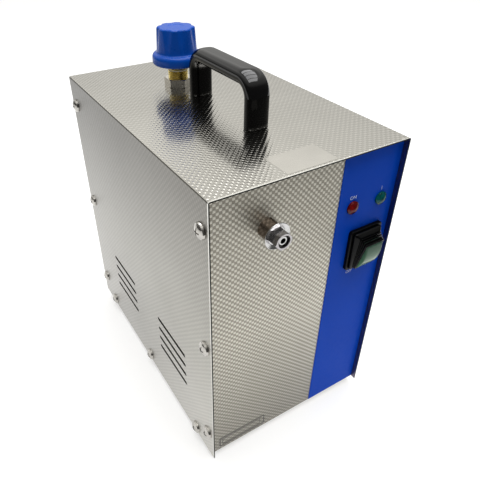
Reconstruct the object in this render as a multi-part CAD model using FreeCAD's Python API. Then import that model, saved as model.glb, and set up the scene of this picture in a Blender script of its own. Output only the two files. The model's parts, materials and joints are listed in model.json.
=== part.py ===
import FreeCAD, Part
import os
import math

# Table-top steam cleaner for jewellery.
# A folded sheet-metal cover stands over a base pan with a front and a rear
# panel.  An upright boiler is filled through a screwed safety cap on the top.
# Steam leaves through a solenoid valve and a nozzle in the front panel, and a
# drain cock is on the rear panel.
#
# All sizes are millimetres, +Z is up and the front faces -Y.
# The pieces are drawn in "case" coordinates: x from the middle of the case,
# y from the front edge of the cover towards the rear, z from the bottom edge
# of the cover.  place() moves them into the part's own frame, whose origin is
# on the surface it stands on, in the middle of its outline.

os.makedirs("parts", exist_ok=True)
V = FreeCAD.Vector

# ------------------------------------------------------------------ case
CASE_W = 200.0          # over the cover's side walls
CASE_D = 315.0          # front edge to rear edge of the cover
CASE_H = 318.0          # bottom edge to top face of the cover
SHEET = 1.2             # cover, panels and base
BEND_R = 1.8            # outside radius of the cover's bends
RECESS = 5.6            # front and rear panel behind the cover's edges
FLANGE = 17.0           # depth of the panels' folded flanges
FOOT_H = 10.0           # feet below the cover's bottom edge
OVERLAY_X = 31.4        # left edge of the coloured control strip
OVERLAY_T = 0.5

FRONT_MOST = -17.4      # nozzle tip
REAR_MOST = 355.0       # end of the drain's hose tail
MID_Y = (FRONT_MOST + REAR_MOST) / 2.0

# side screws of the cover, (y, z) on each side wall
SCREW_FRONT_Y = 11.9
SCREW_REAR_Y = 303.1
SCREW_Z = (32.5, 160.0, 287.5)
SCREW_LOW_Z = 8.2
SCREW_LOW_Y = (37.5, 157.5, 277.5)
HEAD_R = 7.3
HEAD_H = 4.3
M6_R = 2.9               # side screws
M6_HOLE = 3.2
M5_R = 2.4               # all the other screws
M5_HOLE = 2.7

# ventilation slots in both side walls
SLOT_Z = (62.0, 76.5, 91.0, 105.5)
SLOT_Y = ((55.0, 119.0), (183.0, 247.0))
SLOT_H = 4.6

# ------------------------------------------------------------------ handle
GRIP_Y1 = 88.2
GRIP_Y2 = 188.2
GRIP_W = 23.6
GRIP_T = 13.4
GRIP_R = 15.0           # centre-line radius of the two corners
GRIP_TOP = 49.4         # above the cover
GRIP_EDGE = 5.6         # corner radius of the section

# ------------------------------------------------------------------ filler and cap
FILL_X = -7.0
FILL_Y = 225.4
VIEW_DEG = 239.0        # direction that one flat of the nut faces
NECK_R = 10.45          # G 1/2 outside thread
NECK_BORE = 8.35        # G 3/8 inside thread
NECK_TOP = 16.5         # above the cover
THREAD_P = 1.814
NUT_AF = 26.0
NUT_H = 8.5
CAP_TOP = 59.5
CAP_SKIRT_R = 26.0
CAP_BASE_R = 20.8
CAP_TOP_R = 19.5

# ------------------------------------------------------------------ boiler
BOIL_R = 70.0
BOIL_T = 1.5
BOIL_Z0 = 122.0
BOIL_Z1 = 270.0

# ------------------------------------------------------------------ steam line
LINE_X = -44.2          # nozzle and valve axis
NOZZLE_Z = 274.0
VALVE_Y = 112.0
VALVE_Z = 240.0
PIPE_R = 4.0
PIPE_I = 3.0
PIPE_FIT = 4.05

# ------------------------------------------------------------------ controls
SW_X = 69.1
SW_Z = 213.0
SW_PIVOT_Y = 9.3
SW_TILT = 15.0          # rocker's lean either side of upright
BEZEL_W = 38.5
BEZEL_H = 44.6
LAMP_RED = (48.3, 262.0)
LAMP_GREEN = (82.6, 261.2)

# ------------------------------------------------------------------ rear
INLET = (-62.0, 62.0)
PEDAL = (-30.0, 62.0)
DRAIN = (34.0, 46.0)
DRAIN_BALL_Y = 328.0


# =================================================================== helpers
def box(x0, x1, y0, y1, z0, z1):
    return Part.makeBox(x1 - x0, y1 - y0, z1 - z0, V(x0, y0, z0))


def cyl(r, p, q):
    p, q = V(*p), V(*q)
    d = q - p
    return Part.makeCylinder(r, d.Length, p, d)


def fuse(*s):
    out = s[0]
    for t in s[1:]:
        out = out.fuse(t)
    return out.removeSplitter()


def cut(a, *s):
    for t in s:
        a = a.cut(t)
    return a


def tube(ro, ri, p, q):
    return cyl(ro, p, q).cut(cyl(ri, p, q))


def axis_place(shape, p, d):
    """Moves a shape made along +Z at the origin to point p, along d."""
    s = shape.copy()
    s.Placement = FreeCAD.Placement(V(*p), FreeCAD.Rotation(V(0, 0, 1), V(*d)))
    return s


def hex_prism(af, p, q, turn=0.0, bore=0.0, chamfer=0.0):
    """Hexagonal prism from p to q.  turn rotates it about its own axis."""
    p, q = V(*p), V(*q)
    d = q - p
    rc = af / math.sqrt(3.0)
    pts = [V(rc * math.cos(math.radians(60 * i + turn + 30)), rc * math.sin(math.radians(60 * i + turn + 30)), 0) for i in range(7)]
    s = Part.Face(Part.makePolygon(pts)).extrude(V(0, 0, d.Length))
    if chamfer:
        c = chamfer
        h = d.Length
        prof = [(0, 0), (rc - c, 0), (rc + 0.3, c * 0.62 + 0.15), (rc + 0.3, h - c * 0.62 - 0.15), (rc - c, h), (0, h)]
        s = s.common(revolve(prof))
    if bore:
        s = s.cut(Part.makeCylinder(bore, d.Length + 2, V(0, 0, -1)))
    return axis_place(s, (p.x, p.y, p.z), (d.x, d.y, d.z))


def revolve(pts):
    """Closed profile of (r, z) points, turned about Z.  A point may be
    ("arc", through, end) for a circular arc, or ("curve", points) for a
    smooth curve through points."""
    edges = []
    first = V(pts[0][0], 0, pts[0][1])
    last = first
    for p in pts[1:]:
        if p[0] == "arc":
            m = V(p[1][0], 0, p[1][1])
            e = V(p[2][0], 0, p[2][1])
            edges.append(Part.Arc(last, m, e).toShape())
        elif p[0] == "curve":
            way = [last] + [V(q[0], 0, q[1]) for q in p[1]]
            e = way[-1]
            c = Part.BSplineCurve()
            c.interpolate(way)
            edges.append(c.toShape())
        else:
            e = V(p[0], 0, p[1])
            if (e - last).Length < 1e-7:
                continue
            edges.append(Part.LineSegment(last, e).toShape())
        last = e
    if (last - first).Length > 1e-7:
        edges.append(Part.LineSegment(last, first).toShape())
    f = Part.Face(Part.Wire(edges))
    s = f.revolve(V(0, 0, 0), V(0, 0, 1), 360)
    if s.ShapeType != "Solid":
        s = s.Solids[0]
    if s.Volume < 0:
        s.reverse()
    return s


def cap_arc(r0, z0, z1):
    """Spherical cap from (r0, z0) up to the axis at z1."""
    h = z1 - z0
    rad = (r0 * r0 + h * h) / (2.0 * h)
    rm = 0.55 * r0
    return ("arc", (rm, z1 - rad + math.sqrt(rad * rad - rm * rm)), (0, z1))


def round_rect_wire(w, h, r):
    """Rounded rectangle in the XY plane, centred."""
    a, b = w / 2.0, h / 2.0
    k = r * (1 - math.sqrt(0.5))
    e = []
    e.append(Part.LineSegment(V(-a + r, -b, 0), V(a - r, -b, 0)).toShape())
    e.append(Part.Arc(V(a - r, -b, 0), V(a - k, -b + k, 0), V(a, -b + r, 0)).toShape())
    e.append(Part.LineSegment(V(a, -b + r, 0), V(a, b - r, 0)).toShape())
    e.append(Part.Arc(V(a, b - r, 0), V(a - k, b - k, 0), V(a - r, b, 0)).toShape())
    e.append(Part.LineSegment(V(a - r, b, 0), V(-a + r, b, 0)).toShape())
    e.append(Part.Arc(V(-a + r, b, 0), V(-a + k, b - k, 0), V(-a, b - r, 0)).toShape())
    e.append(Part.LineSegment(V(-a, b - r, 0), V(-a, -b + r, 0)).toShape())
    e.append(Part.Arc(V(-a, -b + r, 0), V(-a + k, -b + k, 0), V(-a + r, -b, 0)).toShape())
    return Part.Wire(e)


def round_bar_y(cx, cz, w, h, r, y0, y1):
    """Rounded rectangle w (x) by h (z) extruded along Y from y0 to y1."""
    f = Part.Face(round_rect_wire(w, h, r))
    s = f.extrude(V(0, 0, y1 - y0))
    s.rotate(V(0, 0, 0), V(1, 0, 0), -90)        # local +Z becomes +Y
    s.translate(V(cx, y0, cz))
    return s


def slot_x(x0, x1, y0, y1, z, h):
    """Round-ended slot along Y, cut through in X."""
    r = h / 2.0
    return fuse(box(x0, x1, y0 + r, y1 - r, z - r, z + r),
                cyl(r, (x0, y0 + r, z), (x1, y0 + r, z)),
                cyl(r, (x0, y1 - r, z), (x1, y1 - r, z)))


def slot_y(y0, y1, x0, x1, z, h):
    r = h / 2.0
    return fuse(box(x0 + r, x1 - r, y0, y1, z - r, z + r),
                cyl(r, (x0 + r, y0, z), (x0 + r, y1, z)),
                cyl(r, (x1 - r, y0, z), (x1 - r, y1, z)))


def slot_z(z0, z1, x0, x1, y, h):
    r = h / 2.0
    return fuse(box(x0 + r, x1 - r, y - r, y + r, z0, z1),
                cyl(r, (x0 + r, y, z0), (x0 + r, y, z1)),
                cyl(r, (x1 - r, y, z0), (x1 - r, y, z1)))


def pipe(points, bend, ro, ri=0.0):
    """Tube along straight runs joined by tangent arcs of radius bend."""
    def run(r):
        parts = []
        pts = [V(*p) for p in points]
        start = pts[0]
        for i in range(1, len(pts) - 1):
            a, b, c = pts[i - 1], pts[i], pts[i + 1]
            u = (b - a).normalize()
            w = (c - b).normalize()
            ang = u.getAngle(w)
            t = bend * math.tan(ang / 2.0)
            p1 = b - u * t
            n = u.cross(w).normalize()
            cdir = n.cross(u).normalize()
            cen = p1 + cdir * bend
            if (p1 - start).Length > 1e-6:
                parts.append(Part.makeCylinder(r, (p1 - start).Length, start, u))
            circ = Part.Face(Part.Wire(Part.makeCircle(r, p1, u)))
            parts.append(circ.revolve(cen, n, math.degrees(ang)))
            start = b + w * t
        d = pts[-1] - start
        parts.append(Part.makeCylinder(r, d.Length, start, d))
        out = parts[0]
        for q in parts[1:]:
            out = out.fuse(q)
        return out
    s = run(ro)
    if ri:
        s = s.cut(run(ri))
    return s


def spring(mean_r, wire_r, z0, z1, pitch):
    """Helical compression spring standing on z0, at the origin."""
    h = z1 - z0 - 2 * wire_r
    hx = Part.makeHelix(pitch, h, mean_r)
    hx.translate(V(0, 0, z0 + wire_r))
    c = Part.Wire(Part.makeCircle(wire_r, V(mean_r, 0, z0 + wire_r), V(0, 1, pitch / (2 * math.pi * mean_r))))
    ps = Part.BRepOffsetAPI.MakePipeShell(Part.Wire(hx.Edges))
    ps.setFrenetMode(True)
    ps.add(c)
    ps.build()
    ps.makeSolid()
    return ps.shape()


def moved(s, x, y, z):
    t = s.copy()
    t.translate(V(x, y, z))
    return t


nodes = {}


def solids_of(s):
    return list(s.Solids)


def put(name, *shapes):
    """Stores a node as a group of separate solids."""
    out = []
    for s in shapes:
        out += solids_of(s)
    nodes[name] = out


# =================================================================== casing
XI = CASE_W / 2.0 - SHEET           # cover's inner face
XF = XI - 0.1                       # outer face of every folded flange
ZTOP_IN = CASE_H - SHEET

outer = box(-CASE_W / 2, CASE_W / 2, 0, CASE_D, 0, CASE_H)
outer = outer.makeFillet(BEND_R, [e for e in outer.Edges if abs(e.Length - CASE_D) < 0.01 and all(abs(v.Z - CASE_H) < 0.01 for v in e.Vertexes)])
inner = box(-XI, XI, -2, CASE_D + 2, -2, ZTOP_IN)
inner = inner.makeFillet(BEND_R - SHEET, [e for e in inner.Edges if abs(e.Length - CASE_D - 4) < 0.01 and all(abs(v.Z - ZTOP_IN) < 0.01 for v in e.Vertexes)])
cover = outer.cut(inner)
side_spots = [(SCREW_FRONT_Y, z) for z in SCREW_Z] + [(SCREW_REAR_Y, z) for z in SCREW_Z] + [(y, SCREW_LOW_Z) for y in SCREW_LOW_Y]
tools = []
for s in (-1, 1):
    a, b = s * (CASE_W / 2 + 2), s * (XI - 2)
    x0, x1 = min(a, b), max(a, b)
    for (y, z) in side_spots:
        tools.append(cyl(M6_HOLE, (x0, y, z), (x1, y, z)))
    for (y0, y1) in SLOT_Y:
        for z in SLOT_Z:
            tools.append(slot_x(x0, x1, y0, y1, z, SLOT_H))
tools.append(cyl(NECK_R + 0.75, (FILL_X, FILL_Y, CASE_H - 5), (FILL_X, FILL_Y, CASE_H + 5)))
for y in (GRIP_Y1, GRIP_Y2):
    tools.append(cyl(3.3, (0, y, CASE_H - 5), (0, y, CASE_H + 5)))
cover = cut(cover, *tools)
put("cover", cover)

# front panel: a shallow tray with flanges folded to the rear
PZ0, PZ1 = 0.6, ZTOP_IN - 0.1


def top_rounded(b, length):
    """Rounds a tray's two upper corners to clear the cover's bends."""
    return b.makeFillet(1.0, [e for e in b.Edges if abs(e.Length - length) < 0.01 and all(abs(v.Z - PZ1) < 0.01 for v in e.Vertexes)])


front = top_rounded(box(-XF, XF, RECESS, RECESS + FLANGE, PZ0, PZ1), FLANGE).cut(box(-XF + SHEET, XF - SHEET, RECESS + SHEET, RECESS + FLANGE + 1, PZ0 + SHEET, PZ1 - SHEET))
ftools = []
for s in (-1, 1):
    for z in SCREW_Z:
        ftools.append(cyl(M6_HOLE, (s * 95, SCREW_FRONT_Y, z), (s * 100, SCREW_FRONT_Y, z)))
for x in (-70, 0, 70):
    ftools.append(cyl(M5_HOLE, (x, 14, -2), (x, 14, 4)))
ftools.append(cyl(7.2, (LINE_X, 0, NOZZLE_Z), (LINE_X, 10, NOZZLE_Z)))
for (x, z) in (LAMP_RED, LAMP_GREEN):
    ftools.append(cyl(5.2, (x, 0, z), (x, 10, z)))
ftools.append(round_bar_y(SW_X, SW_Z, 30.2, 37.4, 1.0, 0, 10))
front = cut(front, *ftools)
put("front_panel", front)

# coloured strip that carries the controls
strip = box(OVERLAY_X, XF - 0.1, RECESS - OVERLAY_T, RECESS, 0.8, PZ1 - 0.2)
strip = cut(strip, *ftools[-3:])
put("control_overlay", strip)

# rear panel: the same tray, turned round
RY1 = CASE_D - RECESS
RY0 = RY1 - FLANGE
rear = top_rounded(box(-XF, XF, RY0, RY1, PZ0, PZ1), FLANGE).cut(box(-XF + SHEET, XF - SHEET, RY0 - 1, RY1 - SHEET, PZ0 + SHEET, PZ1 - SHEET))
rtools = []
for s in (-1, 1):
    for z in SCREW_Z:
        rtools.append(cyl(M6_HOLE, (s * 95, SCREW_REAR_Y, z), (s * 100, SCREW_REAR_Y, z)))
for x in (-70, 22, 70):
    rtools.append(cyl(M5_HOLE, (x, 301, -2), (x, 301, 4)))
rtools.append(round_bar_y(INLET[0], INLET[1], 27.4, 20.4, 0.8, RY1 - 5, RY1 + 5))
rtools.append(cyl(6.15, (PEDAL[0], RY1 - 5, PEDAL[1]), (PEDAL[0], RY1 + 5, PEDAL[1])))
rtools.append(cyl(7.2, (DRAIN[0], RY1 - 5, DRAIN[1]), (DRAIN[0], RY1 + 5, DRAIN[1])))
for i in range(6):
    rtools.append(slot_y(RY1 - 5, RY1 + 5, -46, 46, 208 + 11 * i, 3.2))
rear = cut(rear, *rtools)
put("rear_panel", rear)

# base pan: floor on top of the panels' lower flanges, sides folded up
BZ0 = PZ0 + SHEET + 0.1             # 1.9
BZ1 = BZ0 + SHEET                   # 3.1
BY0, BY1 = RECESS + FLANGE + 1.9, RY0 - 1.9
pan = box(-XF, XF, BY0, BY1, BZ0, BZ0 + 20).cut(box(-XF + SHEET, XF - SHEET, BY0 - 1, BY1 + 1, BZ1, BZ0 + 25))
tongue = box(-XF + SHEET + 0.15, XF - SHEET - 0.15, RECESS + SHEET + 0.2, RY1 - SHEET - 0.2, BZ0, BZ1)
pan = fuse(pan, tongue)
FEET = [(x, y) for x in (-80, 80) for y in (36, 279)]
PANEL_SCREWS = [(-70, 14), (0, 14), (70, 14), (-70, 301), (22, 301), (70, 301)]
STAND_SPOTS = [(FILL_X + 62 * math.cos(math.radians(a)), FILL_Y + 62 * math.sin(math.radians(a))) for a in (0, 90, 180, 270)]
btools = []
for s in (-1, 1):
    for y in SCREW_LOW_Y:
        btools.append(cyl(M6_HOLE, (s * 95, y, SCREW_LOW_Z), (s * 100, y, SCREW_LOW_Z)))
for (x, y) in FEET + PANEL_SCREWS + STAND_SPOTS:
    btools.append(cyl(M5_HOLE, (x, y, 0), (x, y, 5)))
for i in range(5):
    btools.append(slot_z(0, 5, -66, -12, 62 + 11 * i, 3.5))
for i in range(5):
    btools.append(slot_z(0, 5, -34, 20, 203.4 + 11 * i, 3.5))
pan = cut(pan, *btools)
put("base_pan", pan)


# ------------------------------------------------------------------ fasteners
def pan_head(r, h, shank_r, shank_l, cross=True):
    """Low domed head on z = 0..h with its shank down to -shank_l."""
    s = revolve([(0, -shank_l), (shank_r - 0.4, -shank_l), (shank_r, -shank_l + 0.4), (shank_r, 0), (r, 0), (r, 0.5),
                 ("arc", (r - 0.16, 1.05), (r - 0.6, h * 0.46)), cap_arc(r - 0.6, h * 0.46, h)])
    if cross:
        w, a = 1.25, 0.5 * r
        s = cut(s, box(-a, a, -w / 2, w / 2, h - 1.5, h + 1), box(-w / 2, w / 2, -a, a, h - 1.5, h + 1))
    return s


def hex_nut(af, h, bore, turn=0.0):
    return hex_prism(af, (0, 0, 0), (0, 0, h), turn, bore, 0.55)


side_screw = pan_head(HEAD_R, HEAD_H, M6_R, 10.0)
scr, nut = [], []
for s in (-1, 1):
    for (y, z) in side_spots:
        scr.append(axis_place(side_screw, (s * CASE_W / 2, y, z), (s, 0, 0)))
        clinch = hex_nut(10.0, 5.0, M6_R + 0.03, 0.0 if z == SCREW_LOW_Z else 30.0)
        nut.append(axis_place(clinch, (s * (XF - SHEET), y, z), (-s, 0, 0)))
put("cover_screws", *scr)
put("clinch_nuts", *nut)

base_screw = pan_head(4.6, 2.6, M5_R, 11.0)
m5_nut = hex_nut(8.0, 4.0, M5_R + 0.03)
put("base_screws",
    *[axis_place(base_screw, (x, y, PZ0), (0, 0, -1)) for (x, y) in PANEL_SCREWS],
    *[axis_place(base_screw, (x, y, -3.0), (0, 0, -1)) for (x, y) in FEET])

foot = revolve([(M5_HOLE, -3.0), (5.4, -3.0), (5.4, -FOOT_H), (9.4, -FOOT_H), ("arc", (10.1, -FOOT_H + 0.3), (10.4, -FOOT_H + 1.0)), (12.0, BZ0 - 0.1), (12.0, BZ0), (M5_HOLE, BZ0)])
put("rubber_feet", *[moved(foot, x, y, 0) for (x, y) in FEET])

# ------------------------------------------------------------------ handle
gz = CASE_H + GRIP_TOP - GRIP_T / 2.0


def grip_face(p, d):
    """Section of the handle at p, square to d (d lies in the YZ plane)."""
    f = Part.Face(round_rect_wire(GRIP_W, GRIP_T, GRIP_EDGE))
    f.Placement = FreeCAD.Placement(V(*p), FreeCAD.Rotation(V(1, 0, 0), V(0, 0, 0), V(*d), "ZXY"))
    return f


leg_h = GRIP_TOP - GRIP_T / 2.0 - GRIP_R
f1 = grip_face((0, GRIP_Y1, CASE_H), (0, 0, 1))
leg1 = f1.extrude(V(0, 0, leg_h))
f2 = grip_face((0, GRIP_Y1, CASE_H + leg_h), (0, 0, 1))
arc1 = f2.revolve(V(0, GRIP_Y1 + GRIP_R, CASE_H + leg_h), V(1, 0, 0), -90)
f3 = grip_face((0, GRIP_Y1 + GRIP_R, gz), (0, 1, 0))
bar = f3.extrude(V(0, GRIP_Y2 - GRIP_Y1 - 2 * GRIP_R, 0))
f4 = grip_face((0, GRIP_Y2, CASE_H), (0, 0, 1))
leg2 = f4.extrude(V(0, 0, leg_h))
f5 = grip_face((0, GRIP_Y2, CASE_H + leg_h), (0, 0, 1))
arc2 = f5.revolve(V(0, GRIP_Y2 - GRIP_R, CASE_H + leg_h), V(1, 0, 0), 90)
handle = fuse(leg1, arc1, bar, arc2, leg2)
for y in (GRIP_Y1, GRIP_Y2):
    handle = handle.cut(cyl(3.0, (0, y, CASE_H - 1), (0, y, CASE_H + 20)))
put("handle", handle)
hs = fuse(hex_prism(10.0, (0, 0, -4.0), (0, 0, 0), 0, 0, 0.6), cyl(9.0, (0, 0, 0), (0, 0, 1.5)), cyl(2.95, (0, 0, 1.5), (0, 0, 20.0)))
put("handle_screws", *[moved(hs, 0, y, ZTOP_IN - 1.5) for y in (GRIP_Y1, GRIP_Y2)])

# =================================================================== filler
Z0 = CASE_H
z_low = 292.0
prof = [(NECK_BORE, z_low), (NECK_R - 0.15, z_low), (NECK_R - 0.15, Z0 - 8)]
z = Z0 - 8.0
while z + THREAD_P < Z0 + NECK_TOP - 0.6:
    prof += [(NECK_R, z + 0.25), (NECK_R, z + 0.55), (NECK_R - 1.0, z + 0.25 + THREAD_P * 0.5), (NECK_R - 1.0, z + 0.45 + THREAD_P * 0.5)]
    z += THREAD_P
prof += [(NECK_R, z + 0.25), (NECK_R, Z0 + NECK_TOP - 0.5), (NECK_R - 0.5, Z0 + NECK_TOP), (NECK_BORE, Z0 + NECK_TOP)]
neck = revolve(prof)
put("filler_neck", moved(neck, FILL_X, FILL_Y, 0))

fn = hex_prism(NUT_AF, (0, 0, 0), (0, 0, NUT_H), VIEW_DEG, NECK_R + 0.05, 1.3)
fn2 = hex_prism(NUT_AF, (0, 0, 0), (0, 0, 5.0), VIEW_DEG, NECK_R + 0.05, 1.3)
put("filler_nuts", moved(fn, FILL_X, FILL_Y, Z0), moved(fn2, FILL_X, FILL_Y, ZTOP_IN - 5.0))

# cap: moulded knob on a brass plug, with a spring-loaded relief valve inside
knob = revolve([
    (23.2, 23.5), (24.2, 23.5), ("arc", (25.4, 24.1), (26.0, 25.6)), (26.0, 30.6), ("arc", (24.9, 33.4), (22.6, 34.6)),
    ("arc", (21.4, 35.1), (20.9, 36.4)), (CAP_TOP_R + 0.1, 57.1), ("arc", (18.9, 58.8), (17.3, CAP_TOP)),
    (9.0, CAP_TOP), (8.4, CAP_TOP - 0.5), (0, CAP_TOP - 0.5),
    (0, 53.2), (17.6, 53.2), (18.7, 38.0), (23.2, 31.6)])
boss = cyl(12.6, (0, 0, 22.6), (0, 0, 53.7))
knob = knob.fuse(boss).removeSplitter()
knob = knob.cut(hex_prism(18.1, (0, 0, 20), (0, 0, 40.3), 0))
flute_r = 9.0
for i in range(8):
    a = math.radians(VIEW_DEG + 22.5 + 45 * i)
    rt, rb = CAP_TOP_R - 2.0 + flute_r, 20.75 + flute_r
    p = V(rt * math.cos(a), rt * math.sin(a), CAP_TOP + 1.0)
    q = V(rb * math.cos(a), rb * math.sin(a), 37.6)
    d = (q - p).normalize()
    p = p - d * 6
    q = q + d * 0.0
    knob = knob.cut(Part.makeCylinder(flute_r, (q - p).Length, p, d))
put("cap_knob", moved(knob, FILL_X, FILL_Y, Z0))

plug = revolve([
    (3.0, 8.0), (7.4, 8.0), (8.30, 8.9), (8.30, 17.5), (10.9, 17.5), (10.9, 22.4), (6.0, 22.4), (6.0, 12.0), (3.0, 12.0)])
hexpart = hex_prism(18.0, (0, 0, 22.4), (0, 0, 40.0), 0).cut(cyl(6.0, (0, 0, 22), (0, 0, 41)))
plug = plug.fuse(hexpart).removeSplitter()
for i in range(8):
    a = VIEW_DEG + 22.5 + 45 * i
    for b in (box(8.9, 12.0, -1.5, 1.5, 18.3, 20.8), box(10.4, 12.0, -1.5, 1.5, 17.4, 18.4)):
        b.rotate(V(0, 0, 0), V(0, 0, 1), a)
        plug = plug.cut(b)
    if i % 2 == 0:
        c = cyl(1.1, (5.0, 0, 19.6), (10.0, 0, 19.6))
        c.rotate(V(0, 0, 0), V(0, 0, 1), a)
        plug = plug.cut(c)
put("cap_plug", moved(plug, FILL_X, FILL_Y, Z0))
put("cap_gasket", moved(tube(10.3, 8.7, (0, 0, NECK_TOP), (0, 0, NECK_TOP + 1.0)), FILL_X, FILL_Y, Z0))
poppet = revolve([(0, 12.0), (4.6, 12.0), (5.5, 12.9), (5.5, 15.4), (2.9, 15.4), (2.9, 21.0), (2.4, 21.5), (0, 21.5)])
put("relief_poppet", moved(poppet, FILL_X, FILL_Y, Z0))
put("relief_spring", moved(spring(4.3, 0.5, 15.5, 33.9, 3.48), FILL_X, FILL_Y, Z0))
ret = revolve([(1.0, 34.0), (5.95, 34.0), (5.95, 38.0), (1.0, 38.0)]).cut(box(-6, 6, -0.8, 0.8, 36.8, 39))
put("relief_retainer", moved(ret, FILL_X, FILL_Y, Z0))

# =================================================================== boiler
T = BOIL_T
HEAD_RISE = 29.3


def dome(a, b, r_end, up):
    """Quarter ellipse of half-axes a and b above the cylinder, cut at r_end."""
    t1 = math.acos(r_end / a)
    pts = [(a * math.cos(t1 * i / 9.0), BOIL_Z1 + b * math.sin(t1 * i / 9.0)) for i in range(10)]
    return pts[1:] if up else pts[::-1][1:]


outer_dome = dome(BOIL_R, HEAD_RISE, 10.52, True)
inner_dome = dome(BOIL_R - T, HEAD_RISE - T, 10.52, False)
inner_start = (10.52, BOIL_Z1 + (HEAD_RISE - T) * math.sin(math.acos(10.52 / (BOIL_R - T))))
shell = revolve([
    (19.0, BOIL_Z0), (82.0, BOIL_Z0), (82.0, BOIL_Z0 + 2), (BOIL_R, BOIL_Z0 + 2), (BOIL_R, BOIL_Z1),
    ("curve", outer_dome), inner_start, ("curve", inner_dome),
    (BOIL_R - T, BOIL_Z0 + 2), (19.0, BOIL_Z0 + 2)])
shell = moved(shell, FILL_X, FILL_Y, 0)
side_x = 37.2
wall = cyl(BOIL_R - 0.3, (FILL_X, FILL_Y, 200), (FILL_X, FILL_Y, 275))
for sx in (-1, 1):
    b = cyl(9.0, (FILL_X + sx * side_x, 152, VALVE_Z), (FILL_X + sx * side_x, 185, VALVE_Z)).cut(wall)
    shell = shell.fuse(b.Solids[0])
shell = shell.fuse(tube(27.0, 19.0, (FILL_X, FILL_Y, 112), (FILL_X, FILL_Y, BOIL_Z0)))
shell = shell.fuse(cyl(8.0, (FILL_X + 41, FILL_Y, 112), (FILL_X + 41, FILL_Y, BOIL_Z0)))
shell = shell.removeSplitter()
for sx in (-1, 1):
    shell = shell.cut(cyl(PIPE_FIT, (FILL_X + sx * side_x, 140, VALVE_Z), (FILL_X + sx * side_x, 200, VALVE_Z)))
shell = shell.cut(cyl(PIPE_I, (FILL_X + 41, FILL_Y, 110), (FILL_X + 41, FILL_Y, 126)))
shell = shell.cut(cyl(PIPE_FIT, (FILL_X + 41, FILL_Y, 110), (FILL_X + 41, FILL_Y, 116)))
BOLT45 = [(FILL_X + 76 * math.cos(math.radians(a)), FILL_Y + 76 * math.sin(math.radians(a))) for a in (45, 135, 225, 315)]
for (x, y) in BOLT45:
    shell = shell.cut(cyl(M5_HOLE, (x, y, 120), (x, y, 126)))
put("boiler_tank", shell)

stand = tube(82.0, 56.0, (FILL_X, FILL_Y, 119), (FILL_X, FILL_Y, BOIL_Z0))
for i in range(4):
    leg = fuse(box(80, 82, -9, 9, BZ1, 119.5), box(54, 82, -9, 9, BZ1, BZ1 + 2))
    leg.rotate(V(0, 0, 0), V(0, 0, 1), 90 * i)
    leg.translate(V(FILL_X, FILL_Y, 0))
    stand = stand.fuse(leg)
stand = stand.removeSplitter()
for (x, y) in STAND_SPOTS:
    stand = stand.cut(cyl(M5_HOLE, (x, y, 0), (x, y, 8)))
for (x, y) in BOLT45:
    stand = stand.cut(cyl(M5_HOLE, (x, y, 115), (x, y, 123)))
put("boiler_stand", stand)

hex_bolt = fuse(hex_prism(8.0, (0, 0, 0), (0, 0, 3.5), 0, 0, 0.5), cyl(M5_R, (0, 0, -11), (0, 0, 0)))
put("stand_bolts", *[moved(hex_bolt, x, y, BZ1 + 2) for (x, y) in STAND_SPOTS], *[moved(hex_bolt, x, y, BOIL_Z0 + 2) for (x, y) in BOLT45])
put("m5_nuts",
    *[moved(m5_nut, x, y, BZ1) for (x, y) in PANEL_SCREWS + FEET],
    *[moved(m5_nut, x, y, BZ0 - 4.0) for (x, y) in STAND_SPOTS],
    *[moved(m5_nut, x, y, 115.0) for (x, y) in BOLT45])

jacket = tube(78.6, BOIL_R + 0.6, (FILL_X, FILL_Y, 130), (FILL_X, FILL_Y, 262))
for sx in (-1, 1):
    cx = FILL_X + sx * side_x
    jacket = jacket.cut(box(cx - 15, cx + 15, 120, 195, 224, 270))
put("insulation_jacket", jacket)

hf = fuse(hex_prism(46.0, (0, 0, 104), (0, 0, 112), 0, 0, 1.2), cyl(18.9, (0, 0, 112), (0, 0, 125)))
loops = []
for sy in (-1, 1):
    y = 7.5 * sy
    for sx in (-1, 1):
        hf = hf.cut(cyl(4.05, (10 * sx, y, 100), (10 * sx, y, 130)))
    arm1 = cyl(4.0, (-10, y, 99), (-10, y, 205))
    arm2 = cyl(4.0, (10, y, 99), (10, y, 205))
    c = Part.Face(Part.Wire(Part.makeCircle(4.0, V(10, y, 205), V(0, 0, 1))))
    bend = c.revolve(V(0, y, 205), V(0, 1, 0), -180)
    loop = arm1.fuse(bend).fuse(arm2)
    for sx in (-1, 1):
        loop = loop.fuse(cyl(1.4, (10 * sx, y, 90), (10 * sx, y, 99)))
    loops.append(moved(loop.removeSplitter(), FILL_X, FILL_Y, 0))
put("heater_flange", moved(hf, FILL_X, FILL_Y, 0))
put("heating_element", *loops)

th = fuse(cyl(8.0, (0, 0, 117), (0, 0, BOIL_Z0)), cyl(9.0, (0, 0, 110), (0, 0, 117)), box(-7.2, -0.9, -0.4, 0.4, 101, 110), box(0.9, 7.2, -0.4, 0.4, 101, 110))
put("thermostats", *[moved(th, FILL_X + 42 * math.cos(math.radians(a)), FILL_Y + 42 * math.sin(math.radians(a)), 0) for a in (140, 220)])

px = FILL_X + side_x
ps = fuse(hex_prism(17.0, (px, 145, VALVE_Z), (px, 152, VALVE_Z), 0, 0, 0.8), cyl(14.0, (px, 120, VALVE_Z), (px, 145, VALVE_Z)),
          cyl(9.0, (px, 112, VALVE_Z), (px, 120, VALVE_Z)), box(px - 7, px - 0.7, 103, 112, VALVE_Z - 0.4, VALVE_Z + 0.4), box(px + 0.7, px + 7, 103, 112, VALVE_Z - 0.4, VALVE_Z + 0.4))
put("pressure_switch", ps)

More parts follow.
